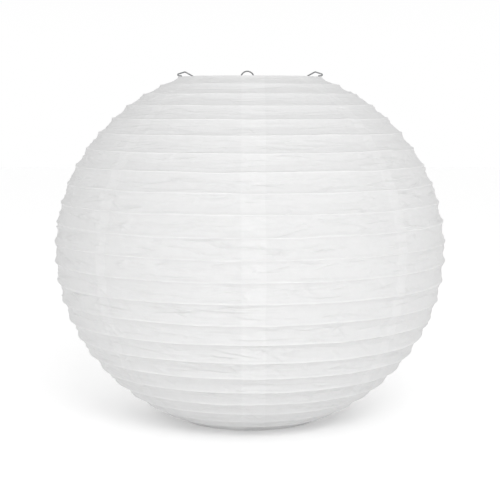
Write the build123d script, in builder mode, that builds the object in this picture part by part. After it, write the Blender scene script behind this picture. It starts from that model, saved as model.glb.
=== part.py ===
"""Accordion paper lantern.

Level wire ribs between two end rings carry eight paper gores, and a sprung wire stretcher
holds the end rings apart and ends in the eye that the lantern hangs from.

Frame: +Z up, with the origin on the lantern's axis at the underside of the bottom ring.
The stretcher stands in the X-Z plane. All sizes are in millimetres.
"""
import os
from math import acos, atan2, cos, hypot, pi, radians, sin, sqrt

from build123d import *

# The body of revolution, measured on the wires' centrelines
widest_diameter = 448.0
opening_diameter = 162.0
ring_spacing = 391.0
rib_count = 22

# Wires
rib_wire = 0.9
ring_wire = 1.6
stretcher_wire = 1.5

# Paper
gore_count = 8
paper_thickness = 0.2
paper_gap = 0.3
paper_dish = 1.5

# Stretcher
hook_gap = 0.7
pocket_set_back = 0.375
lip_reach = 1.6
lip_rise = 1.8
lip_slant = 1.3
leg_inset = 3.1
pocket_bend = 0.9
apex_inset = 6.6
apex_height = 6.6
apex_bend = 1.6
arm_run = 48.0
arm_bend = 8.0
leg_bend = 3.0
toe_lift = 0.1
eye_radius = 7.5
eye_height = 8.0
eye_offset = -3.0
coil_gap = 0.1

# Derived places
widest_radius = widest_diameter / 2
opening_radius = opening_diameter / 2
bottom_level = ring_wire / 2
middle_level = bottom_level + ring_spacing / 2
top_level = bottom_level + ring_spacing
half_height_of_ellipse = (ring_spacing / 2) / sqrt(1 - (opening_radius / widest_radius) ** 2)
band_count = rib_count + 1


def on_meridian(angle):
    """Radius and level of the point of the meridian ellipse at this parameter angle."""
    return widest_radius * cos(angle), middle_level + half_height_of_ellipse * sin(angle)


def evenly_spaced_angles(fine_steps=4000):
    """Parameter angles, from the bottom ring to the top ring, that cut the meridian into equal bands."""
    end = acos(opening_radius / widest_radius)
    angles = [-end + 2 * end * step / fine_steps for step in range(fine_steps + 1)]
    points = [on_meridian(angle) for angle in angles]
    travelled = [0.0]
    for (r_0, z_0), (r_1, z_1) in zip(points, points[1:]):
        travelled.append(travelled[-1] + hypot(r_1 - r_0, z_1 - z_0))
    found = [-end]
    for band in range(1, band_count):
        target = travelled[-1] * band / band_count
        found.append(angles[min(range(fine_steps + 1), key=lambda step: abs(travelled[step] - target))])
    return found + [end]


def save(piece, name):
    """Label a finished piece and write it to its own file."""
    piece.part.label = name
    export_step(piece.part, f"parts/{name}.step")


def wire_ring(radius, level, wire):
    """A closed ring of round wire about the lantern's axis."""
    with BuildPart() as ring:
        with BuildSketch(Plane.XZ):
            with Locations((radius, level)):
                Circle(wire / 2)
        revolve(axis=Axis.Z)
    return ring


os.makedirs("parts", exist_ok=True)

# End rings and ribs -----------------------------------------------------------------------------
ring_angles = evenly_spaced_angles()
ring_points = [on_meridian(angle) for angle in ring_angles]

save(wire_ring(opening_radius, bottom_level, ring_wire), "bottom_ring")
save(wire_ring(opening_radius, top_level, ring_wire), "top_ring")
for number, (rib_radius, rib_level) in enumerate(ring_points[1:-1], start=1):
    save(wire_ring(rib_radius, rib_level, rib_wire), f"rib_{number:02d}")


# Paper gores ------------------------------------------------------------------------------------
def paper_corner(index, outward):
    """Where the paper passes a wire, this far outward of the gap between them."""
    radius, level = ring_points[index]
    if index in (0, band_count):
        return radius + ring_wire / 2 + paper_gap + outward, level
    angle = ring_angles[index]
    lean = atan2(sin(angle) / half_height_of_ellipse, cos(angle) / widest_radius)
    reach = rib_wire / 2 + paper_gap + outward
    return radius + reach * cos(lean), level + reach * sin(lean)


def dished_middle(lower, upper):
    """The middle of one band of paper, which sags towards the axis between its two wires."""
    run, rise = upper[0] - lower[0], upper[1] - lower[1]
    span = hypot(run, rise)
    middle = ((lower[0] + upper[0]) / 2, (lower[1] + upper[1]) / 2)
    return middle[0] - paper_dish * rise / span, middle[1] + paper_dish * run / span


def paper_gore(start_degrees):
    """One gore: a dished band between each two wires, turned through its share of the circle."""
    inner = [paper_corner(index, 0) for index in range(band_count + 1)]
    outer = [paper_corner(index, paper_thickness) for index in range(band_count + 1)]
    turn = radians(start_degrees)
    meridian_plane = Plane(origin=(0, 0, 0), x_dir=(cos(turn), sin(turn), 0), z_dir=(sin(turn), -cos(turn), 0))
    with BuildPart() as gore:
        with BuildSketch(meridian_plane):
            with BuildLine():
                for side in (inner, outer):
                    for lower, upper in zip(side, side[1:]):
                        ThreePointArc(lower, dished_middle(lower, upper), upper)
                Line(inner[0], outer[0])
                Line(inner[-1], outer[-1])
            make_face()
        revolve(axis=Axis.Z, revolution_arc=360 / gore_count)
    return gore


for number in range(gore_count):
    save(paper_gore(number * 360 / gore_count), f"paper_gore_{number + 1}")


# Stretcher --------------------------------------------------------------------------------------
# One length of spring wire: foot, leg, hook, arm, hanging eye, arm, hook, leg, foot. Each foot and
# each hook is a square pocket that opens outwards and takes an end ring from inside the lantern.
seat = (ring_wire + stretcher_wire) / 2 + hook_gap
lip_radius = opening_radius + lip_reach
pocket_radius = opening_radius - seat - pocket_set_back
leg_radius = opening_radius - leg_inset
lip_level = seat + lip_rise
shoulder_level = lip_level + lip_slant
coil_pitch = stretcher_wire + coil_gap
coil_tilt = atan2(coil_pitch, 2 * pi * eye_radius)
eye_centre_level = top_level + eye_height - stretcher_wire / 2 - eye_radius
arm_level = eye_centre_level - eye_radius


def half_stretcher(side):
    """Corner points and bend radii of one half, from the eye to the toe; side is +1 or -1 along X."""
    points_and_bends = [
        (side * arm_run, arm_level, arm_bend),
        (side * (opening_radius - apex_inset), top_level + apex_height, apex_bend),
        (side * lip_radius, top_level + lip_level, pocket_bend),
        (side * lip_radius, top_level + seat, pocket_bend),
        (side * pocket_radius, top_level + seat, pocket_bend),
        (side * pocket_radius, top_level - seat, pocket_bend),
        (side * lip_radius, top_level - seat, pocket_bend),
        (side * lip_radius, top_level - lip_level, pocket_bend),
        (side * leg_radius, top_level - shoulder_level, leg_bend),
        (side * leg_radius, bottom_level + shoulder_level, leg_bend),
        (side * lip_radius, bottom_level + lip_level, pocket_bend),
        (side * lip_radius, bottom_level + seat, pocket_bend),
        (side * pocket_radius, bottom_level + seat, pocket_bend),
    ]
    depth = -side * cos(coil_tilt) * coil_pitch / 2
    start = (eye_offset + side * sin(coil_tilt) * coil_pitch / 2, depth, arm_level)
    toe = (side * pocket_radius, depth, toe_lift)
    corners = [start] + [(x, depth, z) for x, z, bend in points_and_bends] + [toe]
    return corners, [bend for x, z, bend in points_and_bends]


left_corners, left_bends = half_stretcher(-1)
right_corners, right_bends = half_stretcher(+1)
coil_axis = Vector(sin(coil_tilt), -cos(coil_tilt), 0)
eye_centre = Vector(eye_offset, 0, eye_centre_level)
coil_plane = Plane(origin=eye_centre - coil_axis * (coil_pitch / 2), x_dir=(0, 0, -1), z_dir=coil_axis)

eye_turn = coil_plane * Helix(pitch=coil_pitch, height=coil_pitch, radius=eye_radius)

with BuildPart() as stretcher:
    with BuildLine() as route:
        FilletPolyline(*reversed(left_corners), radius=list(reversed(left_bends)))
        add(eye_turn)
        FilletPolyline(*right_corners, radius=right_bends)
    with BuildSketch(Plane(origin=left_corners[-1], z_dir=(0, 0, 1))):
        Circle(stretcher_wire / 2)
    sweep(path=route.wires()[0], transition=Transition.ROUND)
save(stretcher, "stretcher")
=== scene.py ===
"""Looks of an accordion paper lantern: eight gores of creased tissue over wire ribs, and a stretcher."""
import math

import bpy
import numpy as np
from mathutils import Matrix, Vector


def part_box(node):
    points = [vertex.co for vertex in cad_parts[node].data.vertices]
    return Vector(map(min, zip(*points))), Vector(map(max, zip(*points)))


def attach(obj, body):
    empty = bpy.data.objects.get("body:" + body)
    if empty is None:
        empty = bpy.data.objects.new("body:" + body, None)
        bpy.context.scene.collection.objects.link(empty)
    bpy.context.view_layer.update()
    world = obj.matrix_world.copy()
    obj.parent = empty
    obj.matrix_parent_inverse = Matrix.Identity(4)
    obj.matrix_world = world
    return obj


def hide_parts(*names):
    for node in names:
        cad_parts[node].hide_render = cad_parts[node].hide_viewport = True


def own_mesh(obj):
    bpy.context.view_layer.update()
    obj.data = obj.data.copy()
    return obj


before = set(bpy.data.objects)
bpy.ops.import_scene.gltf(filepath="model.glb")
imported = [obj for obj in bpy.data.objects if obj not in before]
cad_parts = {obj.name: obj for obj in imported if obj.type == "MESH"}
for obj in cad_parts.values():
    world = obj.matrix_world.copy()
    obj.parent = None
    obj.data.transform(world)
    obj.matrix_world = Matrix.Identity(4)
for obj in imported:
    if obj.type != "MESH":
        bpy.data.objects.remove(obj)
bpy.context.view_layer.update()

bl_info = {
    "name": "Accordion Paper Lantern",
    "version": (1, 0, 0),
    "blender": (4, 5, 0),
    "location": "View3D > Sidebar > Lantern",
    "description": "Builds the creased paper, the wire finishes and the stage of a paper lantern",
    "category": "Object",
}

MM = 0.001
FULL_TURN = 2 * math.pi


# What the frame says --------------------------------------------------------------------------------
def wire_ring(node):
    """Centreline radius, level and wire thickness of a ring of the frame."""
    low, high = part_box(node)
    wire = high[2] - low[2]
    across = max(high[0] - low[0], high[1] - low[1])
    return (across - wire) / 2, (low[2] + high[2]) / 2, wire


RIB_NODES = sorted(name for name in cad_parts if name.startswith("rib_"))
GORE_NODES = sorted(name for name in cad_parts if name.startswith("paper_gore_"))
RINGS = [wire_ring(name) for name in ["bottom_ring"] + RIB_NODES + ["top_ring"]]
BAND_COUNT = len(RINGS) - 1
BOTTOM_LEVEL = RINGS[0][1]
TOP_LEVEL = RINGS[-1][1]
GORE_ANGLE = FULL_TURN / len(GORE_NODES)
FRONT_SEAM = -math.pi / 2


# Settings -------------------------------------------------------------------------------------------
class LanternPaperSettings(bpy.types.PropertyGroup):
    """Sizes and colours of the paper."""
    colour: bpy.props.FloatVectorProperty(
        name="Paper", description="Colour of one layer of paper", subtype="COLOR",
        size=3, default=(0.783, 0.783, 0.783), min=0, max=1)
    front_overlap: bpy.props.FloatProperty(
        name="Front overlap", description="Width of the glued strip at the front seam",
        default=0.023, min=0.004, max=0.04, unit="LENGTH", subtype="DISTANCE")
    side_overlap: bpy.props.FloatProperty(
        name="Other overlaps", description="Width of the glued strip at the other seams",
        default=0.013, min=0.004, max=0.04, unit="LENGTH", subtype="DISTANCE")
    upper_share: bpy.props.FloatProperty(
        name="Upper layer's share", description="Share of a glued strip that lies past the seam",
        default=0.68, min=0.1, max=0.9, subtype="FACTOR")
    fold_depth: bpy.props.FloatProperty(
        name="Fold depth", description="How far the storage fold lies inside the line between two ribs",
        default=0.0023, min=0, max=0.004, unit="LENGTH", subtype="DISTANCE")
    crest_height: bpy.props.FloatProperty(
        name="Rib crest", description="How far the paper stands out where it is glued over a rib",
        default=0.001, min=0, max=0.002, unit="LENGTH", subtype="DISTANCE")
    layer_lift: bpy.props.FloatProperty(
        name="Layer lift", description="Height of an overlapping layer above the one under it",
        default=0.00016, min=0.00005, max=0.001, unit="LENGTH", subtype="DISTANCE")
    crease_spacing: bpy.props.FloatProperty(
        name="Crease spacing", description="Mean distance between small creases along a band",
        default=0.010, min=0.005, max=0.2, unit="LENGTH", subtype="DISTANCE")
    fold_seed: bpy.props.IntProperty(
        name="Fold pattern", description="Another number gives another pattern of folds", default=7, min=0)
    across_steps: bpy.props.IntProperty(
        name="Steps across", description="Mesh steps across one gore", default=100, min=16, max=200)


class LanternWireSettings(bpy.types.PropertyGroup):
    """Colours of the wires."""
    coating: bpy.props.FloatVectorProperty(
        name="Coating", description="Colour of the coated ribs and end rings", subtype="COLOR",
        size=3, default=(0.78, 0.78, 0.77), min=0, max=1)
    zinc: bpy.props.FloatVectorProperty(
        name="Zinc", description="Colour of the stretcher's plating", subtype="COLOR",
        size=3, default=(0.24, 0.245, 0.25), min=0, max=1)


class LanternStageSettings(bpy.types.PropertyGroup):
    """The floor, the light and the camera."""
    floor_colour: bpy.props.FloatVectorProperty(
        name="Floor", description="Colour of the floor", subtype="COLOR",
        size=3, default=(0.99, 0.99, 0.99), min=0, max=1)
    sky_strength: bpy.props.FloatProperty(
        name="Surroundings", description="Brightness of the white room at eye level", default=1.0, min=0)
    ceiling_strength: bpy.props.FloatProperty(
        name="Ceiling", description="Brightness of the room overhead", default=0.82, min=0)
    floor_glow: bpy.props.FloatProperty(
        name="Floor glow", description="Light that the floor gives from below", default=0.14, min=0)
    key_power: bpy.props.FloatProperty(
        name="Front light", description="Power of the light above and behind the camera",
        default=12.0, min=0, unit="POWER")
    fill_power: bpy.props.FloatProperty(
        name="Low light", description="Power of the soft light low in front",
        default=2.0, min=0, unit="POWER")
    camera_distance: bpy.props.FloatProperty(
        name="Camera distance", description="From the lantern's axis", default=1.5, min=0.5,
        unit="LENGTH", subtype="DISTANCE")
    camera_rise: bpy.props.FloatProperty(
        name="Camera rise", description="Above the middle of the lantern", default=0.165,
        unit="LENGTH", subtype="DISTANCE")
    focal_length: bpy.props.FloatProperty(
        name="Focal length", description="Of the camera, in millimetres", default=93.6, min=10)


# Small helpers --------------------------------------------------------------------------------------
def smooth_step(value):
    """0 below 0, 1 above 1 and smooth between."""
    value = np.clip(value, 0, 1)
    return value * value * (3 - 2 * value)


def soft_noise(x, y, seed, cells=64):
    """Smooth random values from -1 to 1 over a plane, one cell to each unit."""
    grid = np.random.default_rng(seed).uniform(-1, 1, (cells, cells))
    x_cell, y_cell = np.floor(x).astype(int), np.floor(y).astype(int)
    x_part, y_part = smooth_step(x - x_cell), smooth_step(y - y_cell)
    x_next, y_next = (x_cell + 1) % cells, (y_cell + 1) % cells
    x_cell, y_cell = x_cell % cells, y_cell % cells
    low = grid[x_cell, y_cell] * (1 - x_part) + grid[x_next, y_cell] * x_part
    high = grid[x_cell, y_next] * (1 - x_part) + grid[x_next, y_next] * x_part
    return low * (1 - y_part) + high * y_part


def around(distance, circumference):
    """Distance along a closed ring, the short way, with its sign."""
    return (distance + circumference / 2) % circumference - circumference / 2


def grid_mesh(name, points, layer_and_highlight_share, flat_places):
    """A sheet from a grid of points, with its flat place as UV and its double layer and painted rib highlight
    as an attribute.
    """
    rows, columns = points.shape[:2]
    first = (np.arange(rows - 1)[:, None] * columns + np.arange(columns - 1)).ravel()
    faces = np.stack([first, first + 1, first + columns + 1, first + columns], axis=1)
    mesh = bpy.data.meshes.new(name)
    mesh.from_pydata(points.reshape(-1, 3).tolist(), [], faces.tolist())
    flat = mesh.uv_layers.new(name="flat_paper")
    loop_points = np.empty(len(mesh.loops), dtype=np.int32)
    mesh.loops.foreach_get("vertex_index", loop_points)
    flat.data.foreach_set("uv", flat_places.reshape(-1, 2)[loop_points].astype(np.float32).ravel())
    double_layer_and_highlight = mesh.attributes.new("double_layer_and_highlight", "FLOAT", "POINT")
    double_layer_and_highlight.data.foreach_set("value", layer_and_highlight_share.ravel().astype(np.float32))
    mesh.polygons.foreach_set("use_smooth", np.ones(len(mesh.polygons), dtype=bool))
    mesh.update()
    piece = bpy.data.objects.new(name, mesh)
    bpy.context.scene.collection.objects.link(piece)
    return piece


# Folds ----------------------------------------------------------------------------------------------
UPPER_BANDS_FROM = 0.6
UPPER_BANDS_BLEND = 0.3
UPPER_FOLD_SHARE = 0.65
ROUND_SHARE = 0.35

STORAGE_FOLD_PLACE = (0.50, 0.70)
STORAGE_FOLD_LENGTH = (0.07, 0.20)
STORAGE_FOLD_WANDER = 0.30
STORAGE_FOLD_STRENGTH = (0.6, 1.15)
STORAGE_FOLD_STEP = (0.45, 0.8)
STORAGE_FOLD_LIMITS = (0.12, 0.95)
WAVER_SHARE = 0.05
WAVER_LENGTH = 0.022
FOLD_LIP_HEIGHT = 0.9 * MM
FOLD_LIP_WIDTH = 0.75 * MM
FOLD_LIP_STRENGTH = (0.1, 1.0)

LEVEL_CREASES = 0.72
LEVEL_TURN_SPREAD = 0.09
CROSSING_TURN = (0.25, 0.9)
LEVEL_LENGTH = (0.02, 0.08)
CROSSING_LENGTH = (0.008, 0.026)
CREASE_PLACE = (0.12, 0.9)
CREASE_BOW_SPREAD = 1.6
CREASE_RISE = (0.28 * MM, 1.6 * MM)
IN_OR_OUT = (0.4, 0.6)
SHARP_SIDE = (0.35 * MM, 0.8 * MM)
SLOW_SIDE = (1.2 * MM, 4.0 * MM)
SEAM_CREASES = 4
SEAM_CREASE_PLACE = 0.004
SEAM_CREASE_SPREAD = 0.016
SEAM_CREASE_SHARE = 0.7

CREST_WIDTH = 1.6 * MM
CREST_STRAY = 0.75 * MM
CREST_STRAY_LENGTH = 0.045
CREST_JITTER = 0.3 * MM
CREST_JITTER_LENGTH = 0.014

HELD_WITHIN = 3.5 * MM
BUCKLE = 0.16 * MM
BUCKLE_LENGTH = 0.016
RIPPLE = 0.035 * MM
RIPPLE_LENGTH = 0.0055


def band_softness(band):
    """Share of the full fold depth: the upper bands hang smoother than the lower ones."""
    height = (band + 0.5) / BAND_COUNT
    return 1 - (1 - UPPER_FOLD_SHARE) * float(smooth_step((height - UPPER_BANDS_FROM) / UPPER_BANDS_BLEND))


def storage_folds(band, along, share, span, circumference, settings):
    """Depth of the long folds that close the band when the lantern is put away, each with a sharp lip."""
    draw = np.random.default_rng([settings.fold_seed, band, 1])
    full = settings.fold_depth * band_softness(band)
    depth = full * ROUND_SHARE * 4 * share * (1 - share)
    lip = 0 * depth
    place = 0.0
    while place < circumference:
        length = draw.uniform(*STORAGE_FOLD_LENGTH)
        offset = around(along - place - length / 2, circumference)
        middle = draw.uniform(*STORAGE_FOLD_PLACE)
        lean = draw.uniform(-STORAGE_FOLD_WANDER, STORAGE_FOLD_WANDER)
        strength = full * draw.uniform(*STORAGE_FOLD_STRENGTH)
        waver = WAVER_SHARE * soft_noise(along / WAVER_LENGTH, band, settings.fold_seed + 11)
        crease = np.clip(middle + lean * offset / length + waver, *STORAGE_FOLD_LIMITS)
        facet = np.where(share < crease, share / crease, (1 - share) / (1 - crease))
        window = smooth_step(1.6 * (1 - np.abs(offset) / (0.75 * length)))
        beside = np.abs(share - crease) * span
        depth = np.maximum(depth, strength * window * facet)
        lip_strength = draw.uniform(*FOLD_LIP_STRENGTH)
        lip = np.maximum(lip, lip_strength * window * np.exp(-beside / FOLD_LIP_WIDTH))
        place += length * draw.uniform(*STORAGE_FOLD_STEP)
    return depth - FOLD_LIP_HEIGHT * band_softness(band) * lip


def small_crease(along, height, circumference, crease):
    """Height of one crease: a sharp side, a slow side and ends that run out."""
    cosine, sine = math.cos(crease["turn"]), math.sin(crease["turn"])
    s, t = around(along - crease["along"], circumference), height - crease["height"]
    forward = s * cosine + t * sine
    sideways = t * cosine - s * sine - crease["bow"] * forward * forward
    run_out = smooth_step(1.5 * (1 - np.abs(forward) / (crease["length"] / 2)))
    sharp = np.exp(-np.abs(sideways) / crease["sharp_side"])
    slow = np.exp(-np.abs(sideways) / crease["slow_side"])
    return crease["rise"] * run_out * np.where(sideways * crease["facing"] > 0, sharp, slow)


def crease_list(band, span, circumference, settings):
    """The small creases of one band: most lie nearly level, some cross it, and seams gather more."""
    draw = np.random.default_rng([settings.fold_seed, band, 2])
    gain = band_softness(band) ** 1.5
    creases = []
    spread = int(circumference / settings.crease_spacing)
    seams = [FRONT_SEAM + GORE_ANGLE * number for number in range(len(GORE_NODES))]
    for number in range(spread + SEAM_CREASES * len(seams)):
        at_seam = number >= spread
        if draw.random() < LEVEL_CREASES:
            turn = draw.normal(0, LEVEL_TURN_SPREAD)
            length = draw.uniform(*LEVEL_LENGTH)
        else:
            turn = draw.choice([-1, 1]) * draw.uniform(*CROSSING_TURN)
            length = draw.uniform(*CROSSING_LENGTH)
        place = draw.uniform(0, circumference)
        if at_seam:
            seam = seams[(number - spread) % len(seams)]
            place = (seam % FULL_TURN) / FULL_TURN * circumference
            place += draw.normal(SEAM_CREASE_PLACE, SEAM_CREASE_SPREAD)
            length *= SEAM_CREASE_SHARE
        creases.append({
            "along": place,
            "height": span * draw.uniform(*CREASE_PLACE),
            "turn": turn,
            "length": length,
            "bow": draw.normal(0, CREASE_BOW_SPREAD),
            "rise": draw.choice([-1, 1], p=IN_OR_OUT) * draw.uniform(*CREASE_RISE) * gain,
            "sharp_side": draw.uniform(*SHARP_SIDE),
            "slow_side": draw.uniform(*SLOW_SIDE),
            "facing": draw.choice([-1, 1]),
        })
    return creases


def crest_shift(index, angle, settings):
    """How far along the meridian the paper's crest strays from the wire that it is glued to."""
    if index in (0, BAND_COUNT):
        return np.zeros_like(angle)
    along = angle * RINGS[index][0]
    slow = soft_noise(along / CREST_STRAY_LENGTH, 3.7 * index, settings.fold_seed + 41)
    quick = soft_noise(along / CREST_JITTER_LENGTH, 2.9 * index, settings.fold_seed + 42)
    return CREST_STRAY * slow + CREST_JITTER * quick


def band_relief(band, along, share, span, circumference, settings):
    """How far the paper of one band stands outside the straight line between its two wires."""
    height = share * span
    from_wire = np.minimum(height, span - height)
    crest = settings.crest_height * (1 - np.exp(-(from_wire / CREST_WIDTH) ** 1.5))
    held = smooth_step(from_wire / HELD_WITHIN)
    relief = -storage_folds(band, along, share, span, circumference, settings) - crest
    for crease in crease_list(band, span, circumference, settings):
        relief = relief + held * small_crease(along, height, circumference, crease)
    buckle = soft_noise(along / BUCKLE_LENGTH, share * 1.3 + 3 * band, settings.fold_seed + 3)
    ripple = soft_noise(along / RIPPLE_LENGTH, share * 3.1 + 5 * band, settings.fold_seed + 5)
    return relief + held * (BUCKLE * buckle + RIPPLE * ripple)


# Paper ----------------------------------------------------------------------------------------------
PAPER_CLEARANCE = 0.1 * MM
SHIFT_CLEARANCE = 0.55
SHIFT_FADES_OVER = 6 * MM
LAYER_STEP = 2.5 * MM
CUT_EDGE = 0.8 * MM
HIDDEN_EDGE = 3.0 * MM
CUT_WANDER = 1.0 * MM
CUT_JOG = 0.8 * MM
LAYER_NUMBERS = 9
# Strength and half-width of the painted highlight along each rib line.
RIB_HIGHLIGHT = 2.0
RIB_HIGHLIGHT_WITHIN = 0.55 * MM
ROWS_BY_WIRE = 5
ROWS_BETWEEN = 26
ROW_CROWDING = 1.4
CREST_SHARE = 0.07

HEM_ROWS = 15
HEM_COLUMNS = 49
HEM_LAST_TURN = math.radians(222)
HEM_RUFFLE = 0.06 * MM
HEM_RUFFLES = (60, 1.5)
HEM_LAYER_STEP = 2 * MM
HEM_LOOSENESS = (0.25, 1.0)


def row_shares():
    """Shares of a band's span where the mesh has a row: close by the wires and even between."""
    crest = CREST_SHARE * np.linspace(0, 1, ROWS_BY_WIRE + 1) ** ROW_CROWDING
    between = np.linspace(CREST_SHARE, 1 - CREST_SHARE, ROWS_BETWEEN + 1)
    return np.concatenate([crest[:-1], between, (1 - crest[::-1])[1:]])


ROW_SHARES = row_shares()


def wire_contact(index):
    """Where the paper's middle touches a wire: radius, level and the outward direction there."""
    radius, level, wire = RINGS[index]
    before, after = RINGS[max(index - 1, 0)], RINGS[min(index + 1, BAND_COUNT)]
    run, rise = after[0] - before[0], after[1] - before[1]
    length = math.hypot(run, rise)
    outward = (rise / length, -run / length)
    reach = wire / 2 + PAPER_CLEARANCE
    return radius + reach * outward[0], level + reach * outward[1], outward


def rest_on_wire(index, distance, level, lift):
    """Move the paper's points out of a wire, so that they lie over its outer side."""
    radius, height, wire = RINGS[index]
    outward = wire_contact(index)[2]
    across = (level - height) * outward[0] - (distance - radius) * outward[1]
    outside = (distance - radius) * outward[0] + (level - height) * outward[1]
    reach = wire / 2 + PAPER_CLEARANCE + lift
    needed = np.sqrt(np.maximum(reach ** 2 - across ** 2, 0))
    push = np.where(np.abs(across) < reach, np.maximum(needed - outside, 0), 0)
    return distance + push * outward[0], level + push * outward[1]


def overlap_width(seam, settings):
    """Width of the glued strip at a seam, by the seam's angle."""
    at_front = abs(math.remainder(seam - FRONT_SEAM, FULL_TURN)) < GORE_ANGLE / 4
    return settings.front_overlap if at_front else settings.side_overlap


def seam_wander(seam, band_place, settings, layer):
    """How far a cut edge strays along the ring, as it was laid on band by band."""
    number = round((seam % FULL_TURN) / GORE_ANGLE) + LAYER_NUMBERS * layer
    slow = soft_noise(band_place * 0.45, 7.3 * number, settings.fold_seed + 21)
    jog = soft_noise(np.floor(band_place) * 3.7, 5.1 * number, settings.fold_seed + 22)
    return CUT_WANDER * slow + CUT_JOG * jog


def gore_grid(start, settings):
    """Points, double-layer share with the painted rib highlight, and flat places of one gore that starts at
    this angle.
    """
    end = start + GORE_ANGLE
    start_overlap, end_overlap = overlap_width(start, settings), overlap_width(end, settings)
    steps = np.linspace(0, 1, settings.across_steps + 1)
    rows, double_layer_and_highlight, flat = [], [], []
    travelled = 0.0
    for band in range(BAND_COUNT):
        low, high = wire_contact(band), wire_contact(band + 1)
        run, rise = high[0] - low[0], high[1] - low[1]
        span = math.hypot(run, rise)
        normal = (rise / span, -run / span)
        mean_radius = (low[0] + high[0]) / 2
        shares = ROW_SHARES if band == BAND_COUNT - 1 else ROW_SHARES[:-1]
        share = np.repeat(shares[:, None], len(steps), axis=1)
        radius = low[0] + run * share
        band_place = band + share
        hidden, shown = 1 - settings.upper_share, settings.upper_share
        first = start - (start_overlap * hidden + seam_wander(start, band_place, settings, 0)) / radius
        last = end + (end_overlap * shown + seam_wander(end, band_place, settings, 1)) / radius
        angle = first + (last - first) * steps
        along = (angle % FULL_TURN) * mean_radius
        relief = band_relief(band, along, share, span, FULL_TURN * mean_radius, settings)
        from_start = (angle - first) * radius
        from_end = (last - angle) * radius
        layer_lift = settings.layer_lift * (1 - smooth_step((from_end - end_overlap) / LAYER_STEP))
        near_low = smooth_step(1 - share * span / SHIFT_FADES_OVER)
        near_high = smooth_step(1 - (1 - share) * span / SHIFT_FADES_OVER)
        low_shift = crest_shift(band, angle, settings)
        high_shift = crest_shift(band + 1, angle, settings)
        stray = low_shift * near_low + high_shift * near_high
        shift_lift = np.abs(low_shift) * near_low ** 2 + np.abs(high_shift) * near_high ** 2
        lift = layer_lift + SHIFT_CLEARANCE * shift_lift
        distance = radius + stray * run / span + (relief + lift) * normal[0]
        level = low[1] + rise * share + stray * rise / span + (relief + lift) * normal[1]
        distance, level = rest_on_wire(band, distance, level, layer_lift)
        distance, level = rest_on_wire(band + 1, distance, level, layer_lift)
        rows.append(np.stack([distance * np.cos(angle), distance * np.sin(angle), level], axis=-1))
        layers = np.maximum(1 - smooth_step((from_start - start_overlap) / CUT_EDGE),
                            1 - smooth_step((from_end - end_overlap) / HIDDEN_EDGE))
        # Painted highlight: the paper along each rib line is marked for a lighter colour, standing in for
        # light caught where it crests over the wire.
        from_wire = span * np.minimum(share, 1 - share)
        beside_wire = np.maximum(from_wire - np.abs(stray), 0)
        rib_highlight = RIB_HIGHLIGHT * np.exp(-(beside_wire / RIB_HIGHLIGHT_WITHIN) ** 2)
        double_layer_and_highlight.append(np.maximum(layers, rib_highlight))
        flat.append(np.stack([angle * mean_radius, travelled + share * span], axis=-1))
        travelled += span
    return np.concatenate(rows), np.concatenate(double_layer_and_highlight), np.concatenate(flat)


def hem_grid(start, index, settings):
    """The end of a gore turned over an end ring: index 0 is the bottom ring and -1 the top ring."""
    radius, level, wire = RINGS[index]
    contact = wire_contact(index % len(RINGS))[2]
    upward = 1 if index else -1
    first_turn = math.atan2(upward * contact[1], contact[0])
    turns = np.linspace(first_turn, HEM_LAST_TURN, HEM_ROWS)[:, None]
    reach = wire / 2 + PAPER_CLEARANCE
    end = start + GORE_ANGLE
    start_overlap, end_overlap = overlap_width(start, settings), overlap_width(end, settings)
    low = start - start_overlap * (1 - settings.upper_share) / radius
    high = end + end_overlap * settings.upper_share / radius
    angle = np.linspace(low, high, HEM_COLUMNS)[None, :]
    ruffle = HEM_RUFFLE * soft_noise(angle * HEM_RUFFLES[0], turns * HEM_RUFFLES[1], settings.fold_seed + 31)
    past_strip = (high - angle) * radius - end_overlap
    lift = settings.layer_lift * (1 - smooth_step(past_strip / HEM_LAYER_STEP))
    loose = np.sin(np.linspace(*HEM_LOOSENESS, HEM_ROWS) * math.pi / 2)[:, None]
    spread = reach + (ruffle + lift) * loose
    distance = radius + spread * np.cos(turns)
    height = level + upward * spread * np.sin(turns)
    points = np.stack([distance * np.cos(angle), distance * np.sin(angle), height], axis=-1)
    # The whole hem is double layer, so its colour is painted lighter like the glued strips.
    double_layer_and_highlight = np.ones(points.shape[:2])
    flat = np.stack(np.broadcast_arrays(angle * radius, reach * turns), axis=-1)
    return points, double_layer_and_highlight, flat


def build_gores(settings):
    """All gores with their hems, in paper, each standing for its plain solid of the frame."""
    paper = paper_material(settings)
    for node in GORE_NODES:
        number = int(node.rsplit("_", 1)[1])
        start = (number - 1) * GORE_ANGLE
        gore = grid_mesh(f"creased_gore_{number}", *gore_grid(start, settings))
        top_hem = grid_mesh(f"top_hem_{number}", *hem_grid(start, -1, settings))
        bottom_hem = grid_mesh(f"bottom_hem_{number}", *hem_grid(start, 0, settings))
        for piece, body in ((gore, "bottom"), (top_hem, "top"), (bottom_hem, "bottom")):
            piece.data.materials.append(paper)
            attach(piece, body)
        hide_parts(node)
        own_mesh(gore)


# Materials ------------------------------------------------------------------------------------------
NODE_SPACING = 190
WORN_COLOUR = (0.42, 0.42, 0.42, 1.0)
WHITE = (1.0, 1.0, 1.0, 1.0)


def shade(colour, factor):
    """A colour made lighter or darker, with full alpha."""
    return (*[min(1.0, part * factor) for part in colour], 1.0)


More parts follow.
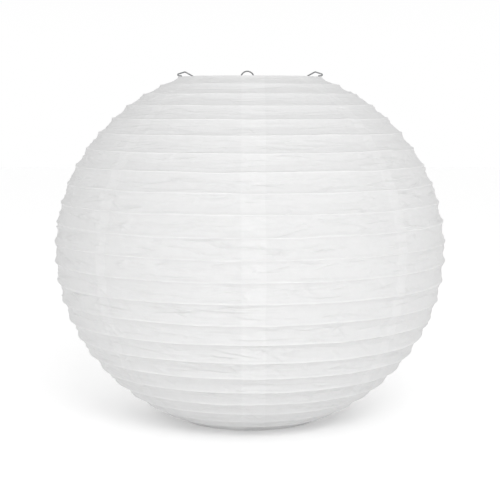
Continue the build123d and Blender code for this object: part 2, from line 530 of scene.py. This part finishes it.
class NodeTable:
    """Places and links the nodes of one material or of the world."""

    def __init__(self, owner):
        self.owner = owner
        self.owner.use_nodes = True
        self.tree = self.owner.node_tree
        self.tree.nodes.clear()
        self.column = 0

    def add(self, kind, inputs=None, **fields):
        """A node with its fields set and its inputs given as values or linked from other nodes' sockets."""
        node = self.tree.nodes.new(kind)
        self.column += 1
        node.location = (self.column * NODE_SPACING, 0)
        for field, value in fields.items():
            setattr(node, field, value)
        for socket, value in (inputs or {}).items():
            if isinstance(value, bpy.types.NodeSocket):
                self.tree.links.new(value, node.inputs[socket])
            else:
                node.inputs[socket].default_value = value
        return node


def ramp(table, value, low, high, low_to, high_to):
    """Remaps a value linearly, held at the ends."""
    node = table.add("ShaderNodeMapRange", {"Value": value, "From Min": low, "From Max": high,
                                            "To Min": low_to, "To Max": high_to})
    return node.outputs["Result"]


def paper_material(settings):
    """Thin white tissue: long fibres, cloudy sheet, painted brightening on the glued strips, a painted
    highlight on the rib lines, light through it.
    """
    table = NodeTable(bpy.data.materials.new("lantern_tissue"))
    place = table.add("ShaderNodeUVMap", uv_map="flat_paper").outputs["UV"]
    along = table.add("ShaderNodeMapping", {"Vector": place, "Scale": (1.0, 3.0, 1.0)}).outputs["Vector"]
    fibres = table.add("ShaderNodeTexNoise", {"Vector": along, "Scale": 520.0, "Detail": 5.0,
                                              "Roughness": 0.62, "Distortion": 1.6}).outputs["Fac"]
    cloud = table.add("ShaderNodeTexNoise", {"Vector": place, "Scale": 95.0, "Detail": 4.0,
                                             "Roughness": 0.6}).outputs["Fac"]
    crumple = table.add("ShaderNodeTexVoronoi", {"Vector": along, "Scale": 105.0},
                        feature="DISTANCE_TO_EDGE").outputs["Distance"]
    double_layer_and_highlight = table.add("ShaderNodeAttribute", attribute_name="double_layer_and_highlight").outputs["Fac"]
    mottle = table.add("ShaderNodeMix", {"Factor": 0.45, "A": fibres, "B": cloud}, data_type="FLOAT")
    tone = ramp(table, mottle.outputs["Result"], 0.3, 0.7, 0.965, 1.02)
    # Painted light: colour up to 3.5 % lighter on glued strips and hems, standing in for light sent back by
    # the layer beneath, and up to 7 % lighter on rib lines as a painted highlight.
    painted_brightening = ramp(table, double_layer_and_highlight, 0.0, 2.0, 1.0, 1.07)
    value = table.add("ShaderNodeMath", {0: tone, 1: painted_brightening}, operation="MULTIPLY").outputs["Value"]
    colour = table.add("ShaderNodeVectorMath", {0: tuple(settings.colour), "Scale": value},
                       operation="SCALE").outputs["Vector"]
    roughness = ramp(table, fibres, 0.3, 0.7, 0.78, 0.95)
    crinkle = table.add("ShaderNodeTexNoise", {"Vector": along, "Scale": 150.0, "Detail": 3.0,
                                               "Roughness": 0.55, "Distortion": 0.7}).outputs["Fac"]
    edges = ramp(table, crumple, 0.0, 0.12, 0.0, 1.0)
    coarse = table.add("ShaderNodeBump", {"Height": crinkle, "Strength": 0.30, "Distance": 0.0006})
    facets = table.add("ShaderNodeBump", {"Height": edges, "Strength": 0.10, "Distance": 0.0003,
                                          "Normal": coarse.outputs["Normal"]})
    fine = table.add("ShaderNodeBump", {"Height": fibres, "Strength": 0.22, "Distance": 0.0002,
                                        "Normal": facets.outputs["Normal"]})
    front = table.add("ShaderNodeBsdfPrincipled", {
        "Base Color": colour, "Roughness": roughness, "Normal": fine.outputs["Normal"],
        "Specular IOR Level": 0.18})
    through = table.add("ShaderNodeBsdfTranslucent", {"Color": colour, "Normal": fine.outputs["Normal"]})
    share = ramp(table, double_layer_and_highlight, 0.0, 1.0, 0.25, 0.23)
    mixed = table.add("ShaderNodeMixShader", {0: share, 1: front.outputs["BSDF"], 2: through.outputs["BSDF"]})
    table.add("ShaderNodeOutputMaterial", {"Surface": mixed.outputs["Shader"]})
    return table.owner


def coated_wire_material(name, colour, settle):
    """Thick white paint on wire: slightly uneven, with the colour of the steel where it is thin."""
    table = NodeTable(bpy.data.materials.new(name))
    place = table.add("ShaderNodeTexCoord").outputs["Object"]
    uneven = table.add("ShaderNodeTexNoise", {"Vector": place, "Scale": settle, "Detail": 4.0,
                                              "Roughness": 0.6}).outputs["Fac"]
    specks = table.add("ShaderNodeTexVoronoi", {"Vector": place, "Scale": settle * 2.3}).outputs["Distance"]
    worn = ramp(table, specks, 0.0, 0.09, 1.0, 0.0)
    paint = table.add("ShaderNodeMix", {"Factor": uneven, "A": shade(colour, 0.93),
                                        "B": shade(colour, 1.05)}, data_type="RGBA")
    shown = table.add("ShaderNodeMix", {"Factor": worn, "A": paint.outputs["Result"],
                                        "B": WORN_COLOUR}, data_type="RGBA")
    roughness = ramp(table, uneven, 0.3, 0.7, 0.34, 0.52)
    bump = table.add("ShaderNodeBump", {"Height": uneven, "Strength": 0.25, "Distance": 0.0002})
    shader = table.add("ShaderNodeBsdfPrincipled", {
        "Base Color": shown.outputs["Result"], "Roughness": roughness, "Normal": bump.outputs["Normal"],
        "Coat Weight": 0.15, "Coat Roughness": 0.3})
    table.add("ShaderNodeOutputMaterial", {"Surface": shader.outputs["BSDF"]})
    return table.owner


def zinc_wire_material(colour):
    """Drawn spring wire with a dull zinc plating: cloudy, with fine draw marks and darker spots."""
    table = NodeTable(bpy.data.materials.new("zinc_spring_wire"))
    place = table.add("ShaderNodeTexCoord").outputs["Object"]
    cloud = table.add("ShaderNodeTexNoise", {"Vector": place, "Scale": 260.0, "Detail": 5.0,
                                             "Roughness": 0.65}).outputs["Fac"]
    drawn = table.add("ShaderNodeMapping", {"Vector": place, "Scale": (1.0, 9.0, 0.25)}).outputs["Vector"]
    marks = table.add("ShaderNodeTexNoise", {"Vector": drawn, "Scale": 900.0, "Detail": 2.0}).outputs["Fac"]
    tint = table.add("ShaderNodeMix", {"Factor": cloud, "A": shade(colour, 0.72),
                                       "B": shade(colour, 1.22)}, data_type="RGBA")
    roughness = ramp(table, cloud, 0.3, 0.7, 0.28, 0.5)
    bump = table.add("ShaderNodeBump", {"Height": marks, "Strength": 0.3, "Distance": 0.00008})
    shader = table.add("ShaderNodeBsdfPrincipled", {
        "Base Color": tint.outputs["Result"], "Metallic": 1.0, "Roughness": roughness,
        "Normal": bump.outputs["Normal"]})
    table.add("ShaderNodeOutputMaterial", {"Surface": shader.outputs["BSDF"]})
    return table.owner


def finish_node(node, material):
    """Gives a solid of the frame its finish."""
    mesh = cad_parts[node].data
    mesh.materials.clear()
    mesh.materials.append(material)


# Stage ----------------------------------------------------------------------------------------------
FLOOR_DROP = 0.4 * MM
FLOOR_REACH = 6.0
LIGHT_SIZE = (1.0, 0.6)
FRONT_LIGHT_PLACE = (0.3, -1.75, 1.1)
LOW_LIGHT_PLACE = (-0.2, -1.5, -0.1)
SENSOR_WIDTH = 36.0
FRAME_SHIFT = -0.005


def aim(piece, target):
    """Turns a light or a camera towards a point."""
    piece.rotation_euler = (target - piece.location).to_track_quat("-Z", "Y").to_euler()


def white_room(settings):
    """World that is bright at eye level and a little darker overhead."""
    room = bpy.data.worlds.new("white_room")
    sky = NodeTable(room)
    direction = sky.add("ShaderNodeTexCoord").outputs["Generated"]
    height = sky.add("ShaderNodeSeparateXYZ", {"Vector": direction}).outputs["Z"]
    strength = ramp(sky, height, 0.05, 0.75, settings.sky_strength, settings.ceiling_strength)
    background = sky.add("ShaderNodeBackground", {"Color": WHITE, "Strength": strength})
    sky.add("ShaderNodeOutputWorld", {"Surface": background.outputs["Background"]})
    return room


def floor_material(settings):
    """Pale, matt floor that gives a little light of its own."""
    table = NodeTable(bpy.data.materials.new("pale_floor"))
    grain = table.add("ShaderNodeTexNoise", {"Scale": 30.0, "Detail": 2.0}).outputs["Fac"]
    roughness = ramp(table, grain, 0.3, 0.7, 0.8, 0.9)
    shader = table.add("ShaderNodeBsdfPrincipled", {
        "Base Color": (*settings.floor_colour, 1.0), "Roughness": roughness, "Specular IOR Level": 0.1,
        "Emission Color": WHITE, "Emission Strength": settings.floor_glow})
    table.add("ShaderNodeOutputMaterial", {"Surface": shader.outputs["BSDF"]})
    return table.owner


def build_stage(settings):
    """White surroundings, a pale floor, two soft lights and the camera."""
    scene = bpy.context.scene
    scene.view_settings.view_transform = "Standard"
    scene.world = white_room(settings)

    mesh = bpy.data.meshes.new("floor")
    signs = ((-1, -1), (1, -1), (1, 1), (-1, 1))
    corners = [(x * FLOOR_REACH, y * FLOOR_REACH, -FLOOR_DROP) for x, y in signs]
    mesh.from_pydata(corners, [], [(0, 1, 2, 3)])
    mesh.materials.append(floor_material(settings))
    floor = bpy.data.objects.new("floor", mesh)
    scene.collection.objects.link(floor)

    middle = Vector((0, 0, (BOTTOM_LEVEL + TOP_LEVEL) / 2))
    for name, power, place in (("front_light", settings.key_power, FRONT_LIGHT_PLACE),
                               ("low_light", settings.fill_power, LOW_LIGHT_PLACE)):
        light_data = bpy.data.lights.new(name, "AREA")
        light_data.shape = "RECTANGLE"
        light_data.size, light_data.size_y = LIGHT_SIZE
        light_data.energy = power
        light = bpy.data.objects.new(name, light_data)
        light.location = middle + Vector(place)
        aim(light, middle)
        scene.collection.objects.link(light)

    camera_data = bpy.data.cameras.new("camera")
    camera_data.lens = settings.focal_length
    camera_data.sensor_width = SENSOR_WIDTH
    camera_data.shift_y = FRAME_SHIFT
    camera = bpy.data.objects.new("camera", camera_data)
    camera.location = middle + Vector((0, -settings.camera_distance, settings.camera_rise))
    aim(camera, middle)
    scene.collection.objects.link(camera)
    scene.camera = camera


# Operators ------------------------------------------------------------------------------------------
class LANTERN_OT_paper(bpy.types.Operator):
    """Build the eight creased gores and their hems"""
    bl_idname = "lantern.paper"
    bl_label = "Paper Gores"

    def execute(self, context):
        build_gores(context.scene.lantern_paper)
        return {"FINISHED"}


class LANTERN_OT_ribs(bpy.types.Operator):
    """Finish the ribs in white coated wire"""
    bl_idname = "lantern.ribs"
    bl_label = "Ribs"

    def execute(self, context):
        coated = coated_wire_material("coated_rib_wire", context.scene.lantern_wire.coating, 310.0)
        for node in RIB_NODES:
            finish_node(node, coated)
        return {"FINISHED"}


class LANTERN_OT_end_rings(bpy.types.Operator):
    """Finish the two end rings in heavier coated wire"""
    bl_idname = "lantern.end_rings"
    bl_label = "End Rings"

    def execute(self, context):
        coated = coated_wire_material("coated_ring_wire", context.scene.lantern_wire.coating, 210.0)
        for node in ("bottom_ring", "top_ring"):
            finish_node(node, coated)
        return {"FINISHED"}


class LANTERN_OT_stretcher(bpy.types.Operator):
    """Finish the stretcher in zinc plated spring wire"""
    bl_idname = "lantern.stretcher"
    bl_label = "Stretcher"

    def execute(self, context):
        finish_node("stretcher", zinc_wire_material(context.scene.lantern_wire.zinc))
        return {"FINISHED"}


class LANTERN_OT_stage(bpy.types.Operator):
    """Set up the floor, the light and the camera"""
    bl_idname = "lantern.stage"
    bl_label = "Stage"

    def execute(self, context):
        build_stage(context.scene.lantern_stage)
        return {"FINISHED"}


class LANTERN_PT_sidebar(bpy.types.Panel):
    """The lantern's settings and steps"""
    bl_label = "Paper Lantern"
    bl_idname = "LANTERN_PT_sidebar"
    bl_space_type = "VIEW_3D"
    bl_region_type = "UI"
    bl_category = "Lantern"

    def draw(self, context):
        layout = self.layout
        scene = context.scene
        wire_steps = ("lantern.ribs", "lantern.end_rings", "lantern.stretcher")
        for group, operators in ((scene.lantern_paper, ("lantern.paper",)),
                                 (scene.lantern_wire, wire_steps),
                                 (scene.lantern_stage, ("lantern.stage",))):
            box = layout.box()
            for field in group.__annotations__:
                box.prop(group, field)
            for operator in operators:
                box.operator(operator)


SETTINGS = {
    "lantern_paper": LanternPaperSettings,
    "lantern_wire": LanternWireSettings,
    "lantern_stage": LanternStageSettings,
}
OPERATORS = (LANTERN_OT_paper, LANTERN_OT_ribs, LANTERN_OT_end_rings, LANTERN_OT_stretcher, LANTERN_OT_stage)
CLASSES = (*SETTINGS.values(), *OPERATORS, LANTERN_PT_sidebar)


def register():
    for each in CLASSES:
        bpy.utils.register_class(each)
    for name, group in SETTINGS.items():
        setattr(bpy.types.Scene, name, bpy.props.PointerProperty(type=group))


def unregister():
    for name in SETTINGS:
        delattr(bpy.types.Scene, name)
    for each in reversed(CLASSES):
        bpy.utils.unregister_class(each)


def main():
    """Builds every piece in order."""
    register()
    bpy.ops.lantern.paper()
    bpy.ops.lantern.ribs()
    bpy.ops.lantern.end_rings()
    bpy.ops.lantern.stretcher()
    bpy.ops.lantern.stage()


if __name__ == "__main__":
    main()
